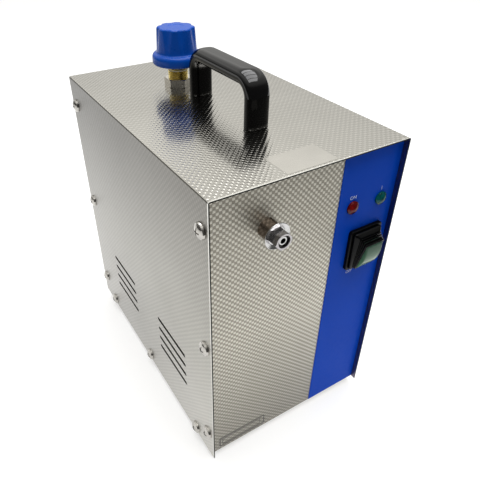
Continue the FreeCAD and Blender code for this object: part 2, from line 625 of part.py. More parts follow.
# =================================================================== steam line
sp = tube(PIPE_R, PIPE_I, (LINE_X, 126.2, VALVE_Z), (LINE_X, 170.5, VALVE_Z))
put("steam_pipe", sp)
b = box(LINE_X - 13, LINE_X + 13, 92, 132, 228, 252)
b = b.makeChamfer(0.8, [e for e in b.Edges])
seat = tube(3.5, 2.0, (LINE_X, VALVE_Y, 243.9), (LINE_X, VALVE_Y, 245.4))
b = cut(b, cyl(8.0, (LINE_X, VALVE_Y, 244), (LINE_X, VALVE_Y, 253)))
b = b.fuse(seat).removeSplitter()
b = cut(b, cyl(PIPE_FIT, (LINE_X, 126, VALVE_Z), (LINE_X, 133, VALVE_Z)), cyl(3.0, (LINE_X, 117, VALVE_Z), (LINE_X, 127, VALVE_Z)),
        cyl(1.8, (LINE_X, 118, VALVE_Z), (LINE_X, 118, 245)),
        cyl(PIPE_FIT, (LINE_X, 91, VALVE_Z), (LINE_X, 98, VALVE_Z)), cyl(3.0, (LINE_X, 97, VALVE_Z), (LINE_X, 113.5, VALVE_Z)),
        cyl(2.0, (LINE_X, VALVE_Y, VALVE_Z), (LINE_X, VALVE_Y, 247)))
put("solenoid_body", b)
st = revolve([(5.3, 248), (7.9, 248), (7.9, 252), (11.5, 252), (11.5, 257), (7.0, 257), (7.0, 292), (0, 292), (0, 281), (5.3, 281)])
put("solenoid_tube", moved(st, LINE_X, VALVE_Y, 0))
pl = revolve([(0, 245.4), (3.5, 245.4), (3.5, 247.0), (5.25, 247.4), (5.25, 272.0), (4.7, 272.5), (0, 272.5)])
put("solenoid_plunger", moved(pl, LINE_X, VALVE_Y, 0))
put("solenoid_spring", moved(spring(3.6, 0.5, 272.6, 280.9, 1.825), LINE_X, VALVE_Y, 0))
coil = box(-16, 16, -16, 16, 258, 288)
coil = coil.makeFillet(3.0, [e for e in coil.Edges if abs(e.Length - 30) < 0.01])
coil = coil.cut(cyl(7.1, (0, 0, 250), (0, 0, 290)))
coil = coil.fuse(box(-9, 9, 15.5, 21.5, 262, 282)).removeSplitter()
put("solenoid_coil", moved(coil, LINE_X, VALVE_Y, 0))
PIPE_BEND = 14.0
op = pipe([(LINE_X, 97.8, VALVE_Z), (LINE_X, 66, VALVE_Z), (LINE_X, 66, NOZZLE_Z), (LINE_X, 28.2, NOZZLE_Z)], PIPE_BEND, PIPE_R, PIPE_I)
put("outlet_pipe", op)

# nozzle: stem through the panel, front nut, heat disc and hexagonal sleeve


def along_front(pts):
    """Profile of (r, y) turned about the nozzle axis."""
    s = revolve(pts)
    s.rotate(V(0, 0, 0), V(1, 0, 0), -90)        # local z becomes y
    s.translate(V(LINE_X, 0, NOZZLE_Z))
    return s


stem = along_front([(2.5, -15.7), (3.6, -15.7), (4.0, -15.3), (4.0, -12.2), (5.5, -12.2), (5.5, -6.5), (7.0, -6.5), (7.0, 36.0), (PIPE_FIT, 36.0), (PIPE_FIT, 28.0), (2.5, 28.0)])
put("nozzle_stem", stem)
fnut = hex_prism(17.0, (LINE_X, -6.5, NOZZLE_Z), (LINE_X, RECESS, NOZZLE_Z), 12, 7.05, 1.0).common(cyl(9.1, (LINE_X, -7, NOZZLE_Z), (LINE_X, RECESS + 1, NOZZLE_Z)))
put("nozzle_front_nut", fnut)
disc = along_front([(5.6, -8.0), (7.9, -8.0), (11.6, -9.0), ("arc", (11.95, -8.75), (11.9, -8.3)), (11.8, -7.9), (8.4, -6.5), (5.6, -6.5)])
put("nozzle_disc", disc)
sleeve = hex_prism(14.0, (LINE_X, -17.4, NOZZLE_Z), (LINE_X, -8.0, NOZZLE_Z), 20, 5.6, 0.9)
put("nozzle_sleeve", sleeve)
lock = hex_prism(20.0, (0, 0, 0), (0, 0, 4.5), 0, 7.05, 1.0)
put("lock_nuts",
    axis_place(lock, (LINE_X, RECESS + SHEET, NOZZLE_Z), (0, 1, 0)),
    axis_place(lock, (DRAIN[0], RY1 - SHEET, DRAIN[1]), (0, -1, 0)),
    axis_place(lock, (DRAIN[0], RY1, DRAIN[1]), (0, 1, 0)))
pn = hex_prism(14.0, (0, 0, 0), (0, 0, 7.0), 0, PIPE_FIT, 0.8)
put("pipe_nuts",
    axis_place(pn, (LINE_X, 132, VALVE_Z), (0, 1, 0)),
    axis_place(pn, (LINE_X, 145, VALVE_Z), (0, 1, 0)),
    axis_place(pn, (LINE_X, 92, VALVE_Z), (0, -1, 0)),
    axis_place(pn, (LINE_X, 36, NOZZLE_Z), (0, 1, 0)),
    axis_place(pn, (FILL_X + 41, FILL_Y, 112), (0, 0, -1)),
    axis_place(pn, (DRAIN[0], 297, DRAIN[1]), (0, -1, 0)))

# =================================================================== controls
FACE = RECESS - OVERLAY_T


def lamp(x, z):
    s = revolve([(0, 0.0), (6.4, 0.0), (6.4, 1.2), ("arc", (6.25, 1.6), (5.9, 1.8)), (5.5, 2.0), cap_arc(5.5, 2.0, 4.2)])
    s = s.cut(cyl(3.9, (0, 0, -1), (0, 0, 1.6)))
    return axis_place(s, (x, FACE, z), (0, -1, 0))


put("red_lamp", lamp(*LAMP_RED))
put("green_lamp", lamp(*LAMP_GREEN))
hous = []
for (x, z) in (LAMP_RED, LAMP_GREEN):
    h = fuse(cyl(5.0, (x, FACE, z), (x, 26, z)), cyl(6.4, (x, RECESS + SHEET + 0.1, z), (x, RECESS + SHEET + 2.6, z)), cyl(1.6, (x, FACE - 1.2, z), (x, FACE, z)),
             box(x - 3.4, x - 2.6, 26, 33, z - 1.2, z + 1.2), box(x + 2.6, x + 3.4, 26, 33, z - 1.2, z + 1.2))
    hous.append(h)
put("lamp_housings", *hous)

bez = round_bar_y(SW_X, SW_Z, BEZEL_W, BEZEL_H, 3.6, FACE - 3.6, FACE)
bez = bez.makeFillet(0.9, [e for e in bez.Edges if all(abs(v.Y - (FACE - 3.6)) < 0.01 for v in e.Vertexes)])
bez = bez.cut(round_bar_y(SW_X, SW_Z, 29.6, 38.6, 2.5, FACE - 6, FACE + 1))
put("switch_bezel", bez)
bt = round_bar_y(SW_X, SW_Z, 33.0, 42.0, 3.4, FACE - 6.1, FACE - 3.6).cut(round_bar_y(SW_X, SW_Z, 24.0, 39.4, 3.0, FACE - 7, FACE - 3))
put("switch_boot", bt)
hz = round_bar_y(SW_X, SW_Z, 29.4, 37.0, 1.0, FACE, 44.0)
hz = hz.cut(box(SW_X - 9.2, SW_X + 9.2, 0, 22, SW_Z - 15.8, SW_Z + 15.8))
hz = hz.cut(cyl(2.55, (SW_X - 12.0, SW_PIVOT_Y, SW_Z), (SW_X + 12.0, SW_PIVOT_Y, SW_Z)))
for dz in (-12, -4, 4, 12):
    hz = hz.fuse(box(SW_X - 3.15, SW_X + 3.15, 43.5, 52.5, SW_Z + dz - 0.4, SW_Z + dz + 0.4))
put("switch_housing", hz.removeSplitter())


def tilt(s):
    t = s.copy()
    t.rotate(V(SW_X, SW_PIVOT_Y, SW_Z), V(1, 0, 0), SW_TILT)
    return t


# rocker drawn upright, then leaned: its upper end stands out
LENS_IN, LENS_OUT, LENS_CROWN = 11.2, 17.8, 20.4
py, pz = SW_PIVOT_Y, SW_Z
e1 = Part.LineSegment(V(0, py - LENS_IN, pz - 15.4), V(0, py - LENS_OUT, pz - 15.4)).toShape()
e2 = Part.Arc(V(0, py - LENS_OUT, pz - 15.4), V(0, py - LENS_CROWN, pz), V(0, py - LENS_OUT, pz + 15.4)).toShape()
e3 = Part.LineSegment(V(0, py - LENS_OUT, pz + 15.4), V(0, py - LENS_IN, pz + 15.4)).toShape()
e4 = Part.LineSegment(V(0, py - LENS_IN, pz + 15.4), V(0, py - LENS_IN, pz - 15.4)).toShape()
lens = Part.Face(Part.Wire([e1, e2, e3, e4])).extrude(V(20.0, 0, 0))
lens.translate(V(SW_X - 10.0, 0, 0))
lens = lens.makeFillet(1.2, [e for e in lens.Edges if all(v.Y < py - LENS_OUT + 0.01 for v in e.Vertexes)])
put("rocker_lens", tilt(lens))
core = box(SW_X - 8.6, SW_X + 8.6, py - LENS_IN, py + 4.0, pz - 11.0, pz + 11.0)
core = core.makeChamfer(1.5, [e for e in core.Edges if all(abs(v.Y - (py + 4.0)) < 0.01 for v in e.Vertexes)])
core = core.fuse(cyl(2.5, (SW_X - 11.4, py, pz), (SW_X + 11.4, py, pz)))
core = core.fuse(box(SW_X - 2.0, SW_X + 2.0, py + 3.5, py + 11.0, pz - 3.0, pz + 3.0)).removeSplitter()
put("rocker_core", tilt(core))

# =================================================================== drain
DX, DZ = DRAIN
dp = pipe([(DX, FILL_Y, 115.8), (DX, FILL_Y, DZ), (DX, 305.0, DZ)], 16.0, PIPE_R, PIPE_I)
put("drain_pipe", dp)


def along_drain(pts):
    s = revolve(pts)
    s.rotate(V(0, 0, 0), V(1, 0, 0), -90)
    s.translate(V(DX, 0, DZ))
    return s


yb = DRAIN_BALL_Y
dv = along_drain([(3.2, 305.2), (PIPE_FIT, 305.2), (PIPE_FIT, 297.0), (7.0, 297.0), (7.0, 316.5), (11.0, 318.0), (11.0, 338.0), (7.6, 338.0), (7.6, yb - 7.7), (3.2, yb - 7.7)])
bossz = cyl(6.2, (DX, yb, DZ + 7.0), (DX, yb, DZ + 14.5)).cut(cyl(7.65, (DX, yb - 9, DZ), (DX, yb + 9, DZ)))
dv = dv.fuse(bossz.Solids[0]).removeSplitter()
dv = dv.cut(cyl(3.05, (DX, yb, DZ + 5), (DX, yb, DZ + 20)))
put("drain_valve_body", dv)
ball = Part.makeSphere(7.0, V(DX, yb, DZ)).cut(cyl(3.2, (DX - 9, yb, DZ), (DX + 9, yb, DZ)))
ball = ball.cut(box(DX - 5, DX + 5, yb - 1.3, yb + 1.3, DZ + 5.2, DZ + 9))
put("drain_ball", ball)
stem = fuse(cyl(3.0, (DX, yb, DZ + 7.2), (DX, yb, DZ + 17.0)), box(DX - 2.6, DX + 2.6, yb - 1.25, yb + 1.25, DZ + 5.3, DZ + 7.4), box(DX - 2.0, DX + 2.0, yb - 2.0, yb + 2.0, DZ + 16.9, DZ + 20.5))
put("drain_stem", stem)
lv = fuse(box(DX - 8, DX + 6, yb - 5, yb + 5, DZ + 17.0, DZ + 19.0), box(DX - 36, DX - 7.9, yb - 4.5, yb + 4.5, DZ + 17.0, DZ + 19.0))
lv = lv.makeFillet(3.0, [e for e in lv.Edges if abs(e.Length - 2.0) < 0.01 and e.Vertexes[0].X < DX - 30])
lv = lv.cut(box(DX - 2.05, DX + 2.05, yb - 2.05, yb + 2.05, DZ + 16, DZ + 21))
put("drain_lever", lv)
tail = along_drain([(3.0, 335.3), (7.5, 335.3), (7.5, 338.0), (9.5, 338.0), (9.5, 342.0), (4.5, 342.0), (4.5, 354.3), (3.8, REAR_MOST), (3.0, REAR_MOST)])
put("drain_hose_tail", tail)

# =================================================================== electrics
ix, iz = INLET
body = round_bar_y(ix, iz, 31.0, 24.4, 2.0, RY1, RY1 + 2.6)
body = body.fuse(round_bar_y(ix, iz, 27.0, 20.0, 0.8, 288.0, RY1 + 0.5)).removeSplitter()
cav = box(ix - 12.2, ix + 12.2, 296.5, RY1 + 5, iz - 8.4, iz + 8.4)
cav = cav.makeChamfer(4.0, [e for e in cav.Edges if abs(e.Length - (RY1 + 5 - 296.5)) < 0.01 and e.Vertexes[0].Z < iz])
body = body.cut(cav)
PINS = [(-7.0, -1.0), (7.0, -1.0), (0.0, 3.0)]
pins = []
for (dx, dz) in PINS:
    x, z = ix + dx, iz + dz
    body = body.cut(box(x - 1.05, x + 1.05, 285, 300, z - 2.05, z + 2.05))
    pins.append(fuse(box(x - 1.0, x + 1.0, 286, 310.5, z - 2.0, z + 2.0), box(x - 0.4, x + 0.4, 277, 286, z - 3.15, z + 3.15)))
put("power_inlet", body)
put("inlet_pins", *pins)

qx, qz = PEDAL
sock = revolve([(0, 296), (6.0, 296), (6.0, RY1), (9.5, RY1), (9.5, RY1 + 2), (6.9, RY1 + 2), (6.9, RY1 + 9.4), (6.3, RY1 + 10), (5.4, RY1 + 10), (5.4, RY1 + 1.5), (0, RY1 + 1.5)])
sock.rotate(V(0, 0, 0), V(1, 0, 0), -90)
sock.translate(V(qx, 0, qz))
pp = [cyl(0.8, (qx + s * 3.6, RY1 + 1.5, qz), (qx + s * 3.6, RY1 + 7.5, qz)) for s in (-1, 1)]
put("pedal_socket", sock, *pp)

tb = box(26, 86, 62, 84, BZ1, 20)
for i in range(4):
    cx = 33.5 + 15 * i
    tb = tb.cut(cyl(2.2, (cx, 61, 10), (cx, 85, 10)))
    for cy in (67.5, 78.5):
        tb = tb.cut(cyl(2.6, (cx, cy, 14), (cx, cy, 21)))
put("terminal_block", tb)

# =================================================================== wiring
WR = 1.1


def wire(points, bend=9.0):
    return pipe(points, bend, WR)


wires = []
# mains from the inlet to the terminal block
for k, (dx, dz) in enumerate(PINS):
    x, z = ix + dx, iz + dz
    zl = 24.0 + 4.0 * k
    xa = 33.5 + 15 * k
    wires.append(wire([(x, 276.9, z), (x, 268.0 - 5 * k, z), (x, 258.0 - 5 * k, z - 12.0), (-92.5, 240.0, zl), (-92.5, 130.0, zl),
                       (xa - 24.0, 112.0 + 3 * k, zl + 2), (xa, 100.0, 10.0), (xa, 84.2, 10.0)], 7.0))
# switch to the terminal block
for k in range(2):
    zs = SW_Z + (-12, 12)[k]
    xa = 48.5 + 15 * k
    ys = 63.0 + 6.0 * k
    wires.append(wire([(SW_X, 52.6, zs), (SW_X, ys, zs), (xa + 4, ys - 6.0, 120.0), (xa, 50.0, 30.0), (xa, 50.5, 10.0), (xa, 61.9, 10.0)], 7.0))
put("wiring", *wires)

# =================================================================== output
count = 0
for name, solids in nodes.items():
    good = []
    for s in solids:
        t = s.copy()
        t.translate(V(0, -MID_Y, FOOT_H))
        good.append(t)
        if not t.isValid() or t.Volume <= 0:
            print("WARNING", name, "solid invalid or empty", t.Volume)
    shape = good[0] if len(good) == 1 else Part.makeCompound(good)
    shape.exportStep("parts/" + name + ".step")
    count += len(good)
    print("%-20s solids %2d  volume %10.1f" % (name, len(good), sum(t.Volume for t in good)))
allb = Part.makeCompound([s for v in nodes.values() for s in v]).BoundBox
print("nodes", len(nodes), "solids", count)
print("case box x %.1f..%.1f y %.1f..%.1f z %.1f..%.1f" % (allb.XMin, allb.XMax, allb.YMin, allb.YMax, allb.ZMin, allb.ZMax))
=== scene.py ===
import bpy
import json
import math
import numpy as np
from mathutils import Matrix, Vector


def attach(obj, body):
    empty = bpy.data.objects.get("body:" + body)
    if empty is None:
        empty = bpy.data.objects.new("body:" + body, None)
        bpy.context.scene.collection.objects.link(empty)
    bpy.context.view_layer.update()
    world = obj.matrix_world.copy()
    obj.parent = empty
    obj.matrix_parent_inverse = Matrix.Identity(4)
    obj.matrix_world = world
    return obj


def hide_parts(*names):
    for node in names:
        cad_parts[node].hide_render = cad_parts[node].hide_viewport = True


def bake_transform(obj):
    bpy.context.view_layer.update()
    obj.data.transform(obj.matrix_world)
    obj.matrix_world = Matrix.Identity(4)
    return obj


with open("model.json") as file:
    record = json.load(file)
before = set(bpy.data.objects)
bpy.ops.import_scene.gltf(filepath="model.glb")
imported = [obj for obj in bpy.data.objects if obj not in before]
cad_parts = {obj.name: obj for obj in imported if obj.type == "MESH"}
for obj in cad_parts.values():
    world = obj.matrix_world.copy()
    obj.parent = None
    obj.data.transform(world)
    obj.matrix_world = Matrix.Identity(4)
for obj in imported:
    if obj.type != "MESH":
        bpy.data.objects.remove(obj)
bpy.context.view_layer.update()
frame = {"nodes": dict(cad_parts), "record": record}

NODES = frame["nodes"]
MID_Y, FOOT = 168.8, 10.0          # case coordinates (mm) to the row frame
COVER_H = 318.0
rng = np.random.default_rng(7)


def P(x, y, z):
    """Case coordinates in millimetres to the row frame in metres."""
    return Vector((x * 0.001, (y - MID_Y) * 0.001, (z + FOOT) * 0.001))


# ---------------------------------------------------------------- camera, light
scene = bpy.context.scene
scene.view_settings.view_transform = "Standard"
scene.view_settings.look = "None"

cam_data = bpy.data.cameras.new("camera")
cam = bpy.data.objects.new("camera", cam_data)
scene.collection.objects.link(cam)
scene.camera = cam
cam_data.sensor_width = 36.0
cam_data.lens = 37.003
cam_data.shift_x = 0.03762
cam_data.shift_y = -0.01455
cam_data.clip_start = 0.01
cam_data.clip_end = 100.0
eye = P(-239.1, -249.8, 496.9)
az, el, roll = math.radians(31.013), math.radians(35.556), math.radians(-0.262)
look = Vector((math.sin(az) * math.cos(el), math.cos(az) * math.cos(el), -math.sin(el)))
cam.rotation_mode = "QUATERNION"
cam.rotation_quaternion = look.to_track_quat("-Z", "Y") @ Matrix.Rotation(roll, 4, "Z").to_quaternion()
cam.location = eye


def area(name, where, target, size, power, colour=(1, 1, 1), size_y=None):
    d = bpy.data.lights.new(name, "AREA")
    d.shape = "RECTANGLE"
    d.size = size
    d.size_y = size_y or size
    d.energy = power
    d.color = colour
    o = bpy.data.objects.new(name, d)
    scene.collection.objects.link(o)
    o.location = Vector(where)
    o.rotation_mode = "QUATERNION"
    o.rotation_quaternion = (Vector(target) - Vector(where)).to_track_quat("-Z", "Y")
    return o


world = bpy.data.worlds.new("studio")
scene.world = world
world.use_nodes = True
wt = world.node_tree


def world_math(op, a, b, c=0.0):
    n = wt.nodes.new("ShaderNodeMath")
    n.operation = op
    for i, v in enumerate((a, b, c)):
        if isinstance(v, (int, float)):
            n.inputs[i].default_value = v
        else:
            wt.links.new(v, n.inputs[i])
    return n.outputs["Value"]


# soft studio: a bright band high behind, dim in front and to the left
w_dir = wt.nodes.new("ShaderNodeSeparateXYZ")
wt.links.new(wt.nodes.new("ShaderNodeTexCoord").outputs["Generated"], w_dir.inputs["Vector"])
w_u = world_math("MULTIPLY_ADD", w_dir.outputs["X"], 0.10, world_math("MULTIPLY_ADD", w_dir.outputs["Y"], 0.40, world_math("MULTIPLY", w_dir.outputs["Z"], 1.10)))
w_ramp = wt.nodes.new("ShaderNodeValToRGB")
W_STOPS = [(0.0, 0.055), (0.3, 0.08), (0.5, 0.30), (0.66, 0.40), (0.77, 0.52), (0.86, 0.74), (1.0, 0.50)]
while len(w_ramp.color_ramp.elements) < len(W_STOPS):
    w_ramp.color_ramp.elements.new(0.5)
for e_, (p_, v_) in zip(w_ramp.color_ramp.elements, W_STOPS):
    e_.position = p_
    e_.color = (v_, v_ * 0.99, v_ * 0.955, 1)
wt.links.new(w_u, w_ramp.inputs["Fac"])
w_bg = wt.nodes["Background"]
wt.links.new(w_ramp.outputs["Color"], w_bg.inputs["Color"])
w_bg.inputs["Strength"].default_value = 1.80
w_white = wt.nodes.new("ShaderNodeBackground")
w_white.inputs["Color"].default_value = (1, 1, 1, 1)
w_white.inputs["Strength"].default_value = 1.0
w_mix = wt.nodes.new("ShaderNodeMixShader")
wt.links.new(wt.nodes.new("ShaderNodeLightPath").outputs["Is Camera Ray"], w_mix.inputs["Fac"])
wt.links.new(w_bg.outputs["Background"], w_mix.inputs[1])
wt.links.new(w_white.outputs["Background"], w_mix.inputs[2])
wt.links.new(w_mix.outputs["Shader"], wt.nodes["World Output"].inputs["Surface"])

# a ceiling light of four soft strips side by side
for k in range(4):
    area("strip_%d" % (k + 1), (0.22, (1.5 - k) * 0.42, 1.62), (0.22, (1.5 - k) * 0.42, 0.0), 1.30, 8.0, (0.985, 0.985, 1.0), 0.36)


# ---------------------------------------------------------------- material tools
class Mat:
    """A small helper around one Principled material."""

    def __init__(self, name, base, rough=0.5, metal=0.0, **more):
        self.m = bpy.data.materials.new(name)
        self.m.use_nodes = True
        self.t = self.m.node_tree
        self.b = self.t.nodes["Principled BSDF"]
        self.b.inputs["Base Color"].default_value = (*base, 1)
        self.b.inputs["Roughness"].default_value = rough
        self.b.inputs["Metallic"].default_value = metal
        for k, v in more.items():
            self.b.inputs[k].default_value = v
        self.base = base

    def node(self, kind, **props):
        n = self.t.nodes.new(kind)
        for k, v in props.items():
            setattr(n, k, v)
        return n

    def link(self, a, b):
        self.t.links.new(a, b)

    def coords(self):
        if not hasattr(self, "_co"):
            self._co = self.node("ShaderNodeTexCoord").outputs["Object"]
        return self._co

    def noise(self, scale, detail=3.0, stretch=None, rough=0.55):
        src = self.coords()
        if stretch:
            mp = self.node("ShaderNodeMapping")
            mp.inputs["Scale"].default_value = stretch
            self.link(src, mp.inputs["Vector"])
            src = mp.outputs["Vector"]
        n = self.node("ShaderNodeTexNoise")
        n.inputs["Scale"].default_value = scale
        n.inputs["Detail"].default_value = detail
        n.inputs["Roughness"].default_value = rough
        self.link(src, n.inputs["Vector"])
        return n.outputs["Fac"]

    def ramp(self, fac, stops):
        r = self.node("ShaderNodeValToRGB")
        while len(r.color_ramp.elements) < len(stops):
            r.color_ramp.elements.new(0.5)
        for e, (p, c) in zip(r.color_ramp.elements, stops):
            e.position = p
            e.color = (*c, 1) if len(c) == 3 else c
        self.link(fac, r.inputs["Fac"])
        return r.outputs["Color"]

    def math(self, op, a, b=None, c=None):
        n = self.node("ShaderNodeMath", operation=op)
        for i, v in enumerate((a, b, c)):
            if v is None:
                continue
            if isinstance(v, (int, float)):
                n.inputs[i].default_value = v
            else:
                self.link(v, n.inputs[i])
        return n.outputs["Value"]

    def colour(self, fac, dark, light, lo=0.3, hi=0.7):
        self.link(self.ramp(fac, [(lo, dark), (hi, light)]), self.b.inputs["Base Color"])
        return self

    def roughness(self, fac, low, high, lo=0.3, hi=0.7):
        n = self.node("ShaderNodeMapRange")
        n.inputs["From Min"].default_value = lo
        n.inputs["From Max"].default_value = hi
        n.inputs["To Min"].default_value = low
        n.inputs["To Max"].default_value = high
        self.link(fac, n.inputs["Value"])
        self.link(n.outputs["Result"], self.b.inputs["Roughness"])
        return self

    def bump(self, height, distance, strength=1.0, under=None):
        n = self.node("ShaderNodeBump")
        n.inputs["Distance"].default_value = distance
        n.inputs["Strength"].default_value = strength
        self.link(height, n.inputs["Height"])
        if under is not None:
            self.link(under, n.inputs["Normal"])
        self.link(n.outputs["Normal"], self.b.inputs["Normal"])
        return n.outputs["Normal"]


def mix(a, b, t):
    return tuple(x + (y - x) * t for x, y in zip(a, b))


def simple(name, base, rough=0.4, metal=0.0, vary=0.12, scale=60.0, grain=0.0, grain_scale=1500.0, stretch=None, **more):
    """Colour and roughness variation from noise, with an optional fine grain."""
    m = Mat(name, base, rough, metal, **more)
    n = m.noise(scale, 3.0, stretch)
    m.colour(n, mix(base, (0, 0, 0), vary), tuple(min(1.0, c * (1.0 + 0.5 * vary)) for c in base))
    m.roughness(n, rough * 0.85, min(1.0, rough * 1.18))
    if grain:
        m.bump(m.noise(grain_scale, 2.0), grain)
    return m


# ---------------------------------------------------------------- embossed sheet
CELL = 0.00275


def embossed(name, base, rough, height=0.00022, edge_y=None, front=1.0):
    """Bright stainless sheet rolled with a staggered pattern of small round
    raised dots.  The pattern runs in the plane of each face, picked by the
    face's normal.  edge_y marks a sheet's front cut edge: the cut face is
    painted near-black as a painted shadow line, and a thin painted highlight runs along the arris beside it."""
    m = Mat(name, base, rough, 1.0)
    sep = m.node("ShaderNodeSeparateXYZ")
    m.link(m.coords(), sep.inputs["Vector"])
    geo = m.node("ShaderNodeNewGeometry")
    nrm = m.node("ShaderNodeSeparateXYZ")
    m.link(geo.outputs["True Normal"], nrm.inputs["Vector"])
    k = math.pi / CELL
    sx = m.math("SINE", m.math("MULTIPLY", sep.outputs["X"], k))
    sy = m.math("SINE", m.math("MULTIPLY", sep.outputs["Y"], k))
    sz = m.math("SINE", m.math("MULTIPLY", sep.outputs["Z"], k))
    ax = m.math("GREATER_THAN", m.math("ABSOLUTE", nrm.outputs["X"]), 0.7)
    ay = m.math("GREATER_THAN", m.math("ABSOLUTE", nrm.outputs["Y"]), 0.7)
    az_ = m.math("GREATER_THAN", m.math("ABSOLUTE", nrm.outputs["Z"]), 0.7)
    h = m.math("ADD", m.math("MULTIPLY", m.math("MULTIPLY", sy, sz), ax),
               m.math("ADD", m.math("MULTIPLY", m.math("MULTIPLY", sx, sz), ay),
                      m.math("MULTIPLY", m.math("MULTIPLY", sx, sy), az_)))
    dot = m.node("ShaderNodeMapRange", interpolation_type="SMOOTHSTEP")
    for sock, v in (("From Min", -0.30), ("From Max", 0.62), ("To Min", 0.0), ("To Max", 1.0)):
        dot.inputs[sock].default_value = v
    m.link(h, dot.inputs["Value"])
    dots = dot.outputs["Result"]
    # the top sheet is the smoothest, the front the most matt
    relief = m.math("MULTIPLY", dots, m.math("MULTIPLY_ADD", ax, 0.16, m.math("MULTIPLY_ADD", ay, 0.36 + 0.2 * front, m.math("MULTIPLY", az_, 0.52))))
    big = m.noise(9.0, 2.0)
    tint = m.ramp(big, [(0.35, mix(base, (0, 0, 0), 0.05)), (0.65, mix(base, (1, 1, 1), 0.04))])
    # painted shade of the relief: the ground between the dots is coloured darker than the dots, a little on the top and
    # sides, much more on faces that look front or back
    dot_shade_level_side, dot_shade_level_front = 0.80, 0.84 - 0.33 * front
    painted_dot_shade_side = m.ramp(dots, [(0.1, (dot_shade_level_side, dot_shade_level_side, dot_shade_level_side)), (0.8, (1, 1, 1))])
    painted_dot_shade_front = m.ramp(dots, [(0.1, (dot_shade_level_front, dot_shade_level_front * 0.97, dot_shade_level_front * 0.90)), (0.8, (1.0, 1.0, 0.97))])
    pick = m.node("ShaderNodeMix", data_type="RGBA")
    m.link(ay, pick.inputs["Factor"])
    m.link(painted_dot_shade_side, pick.inputs["A"])
    m.link(painted_dot_shade_front, pick.inputs["B"])
    mul = m.node("ShaderNodeMix", data_type="RGBA", blend_type="MULTIPLY")
    mul.inputs["Factor"].default_value = 1.0
    m.link(tint, mul.inputs["A"])
    m.link(pick.outputs["Result"], mul.inputs["B"])
    # painted shade: both side walls are coloured darker towards the top
    painted_wall_shade_by_height = m.ramp(m.math("MULTIPLY", sep.outputs["Z"], 3.0), [(0.1, (1.0, 1.0, 1.0)), (0.50, (0.74, 0.74, 0.72)), (0.95, (0.34, 0.335, 0.325))])
    wall = m.node("ShaderNodeMix", data_type="RGBA", blend_type="MULTIPLY")
    m.link(ax, wall.inputs["Factor"])
    m.link(mul.outputs["Result"], wall.inputs["A"])
    m.link(painted_wall_shade_by_height, wall.inputs["B"])
    # painted shade: the left wall is coloured darker towards the rear
    painted_left_wall_shade_rear = m.ramp(m.math("MULTIPLY_ADD", sep.outputs["Y"], 3.0, 0.5), [(0.05, (1.0, 1.0, 1.0)), (0.28, (0.84, 0.84, 0.84)), (0.5, (0.71, 0.71, 0.71)), (0.95, (0.64, 0.64, 0.65))])
    rear = m.node("ShaderNodeMix", data_type="RGBA", blend_type="MULTIPLY")
    m.link(m.math("MULTIPLY", ax, m.math("LESS_THAN", sep.outputs["X"], 0.0)), rear.inputs["Factor"])
    m.link(wall.outputs["Result"], rear.inputs["A"])
    m.link(painted_left_wall_shade_rear, rear.inputs["B"])
    # painted shade: faces that look front or back are coloured darker low down, towards the floor
    low = m.ramp(m.math("MULTIPLY", sep.outputs["Z"], 3.0), [(0.05, (0.62, 0.62, 0.63)), (0.24, (0.76, 0.76, 0.76)), (0.52, (1.0, 1.0, 1.0))])
    foot = m.node("ShaderNodeMix", data_type="RGBA", blend_type="MULTIPLY")
    m.link(ay, foot.inputs["Factor"])
    m.link(rear.outputs["Result"], foot.inputs["A"])
    m.link(low, foot.inputs["B"])
    out = foot.outputs["Result"]
    if edge_y is not None:
        # painted highlight on the thin strip beside the front edge, painted shadow on the cut edge itself
        d = m.math("SUBTRACT", sep.outputs["Y"], edge_y)
        arris_highlight_zone = m.math("MULTIPLY", m.math("LESS_THAN", d, 0.0013), m.math("SUBTRACT", 1.0, ay))
        painted_arris_highlight = m.node("ShaderNodeMix", data_type="RGBA")
        painted_arris_highlight.inputs["B"].default_value = (0.72, 0.71, 0.67, 1)
        m.link(arris_highlight_zone, painted_arris_highlight.inputs["Factor"])
        m.link(out, painted_arris_highlight.inputs["A"])
        painted_edge_shadow = m.node("ShaderNodeMix", data_type="RGBA")
        painted_edge_shadow.inputs["B"].default_value = (0.022, 0.026, 0.023, 1)
        m.link(ay, painted_edge_shadow.inputs["Factor"])
        m.link(painted_arris_highlight.outputs["Result"], painted_edge_shadow.inputs["A"])
        # painted shade: the inner side of the two walls is given a fixed dark colour
        inside = m.math("MULTIPLY", ax, m.math("LESS_THAN", m.math("MULTIPLY", sep.outputs["X"], nrm.outputs["X"]), 0.0))
        inner = m.node("ShaderNodeMix", data_type="RGBA")
        inner.inputs["B"].default_value = (0.17, 0.15, 0.21, 1)
        m.link(inside, inner.inputs["Factor"])
        m.link(painted_edge_shadow.outputs["Result"], inner.inputs["A"])
        out = inner.outputs["Result"]
        relief = m.math("MULTIPLY", relief, m.math("SUBTRACT", 1.0, m.math("MAXIMUM", inside, m.math("MAXIMUM", arris_highlight_zone, ay))))
    m.link(out, m.b.inputs["Base Color"])
    grain = m.node("ShaderNodeMapRange")
    for sock, v in (("From Min", 0.3), ("From Max", 0.7), ("To Min", rough * 0.9), ("To Max", rough * 1.15)):
        grain.inputs[sock].default_value = v
    m.link(m.noise(180.0, 3.0), grain.inputs["Value"])
    m.link(m.math("MULTIPLY_ADD", ay, 0.42, m.math("MULTIPLY_ADD", ax, 0.16, grain.outputs["Result"])), m.b.inputs["Roughness"])
    m.bump(relief, height)
    return m


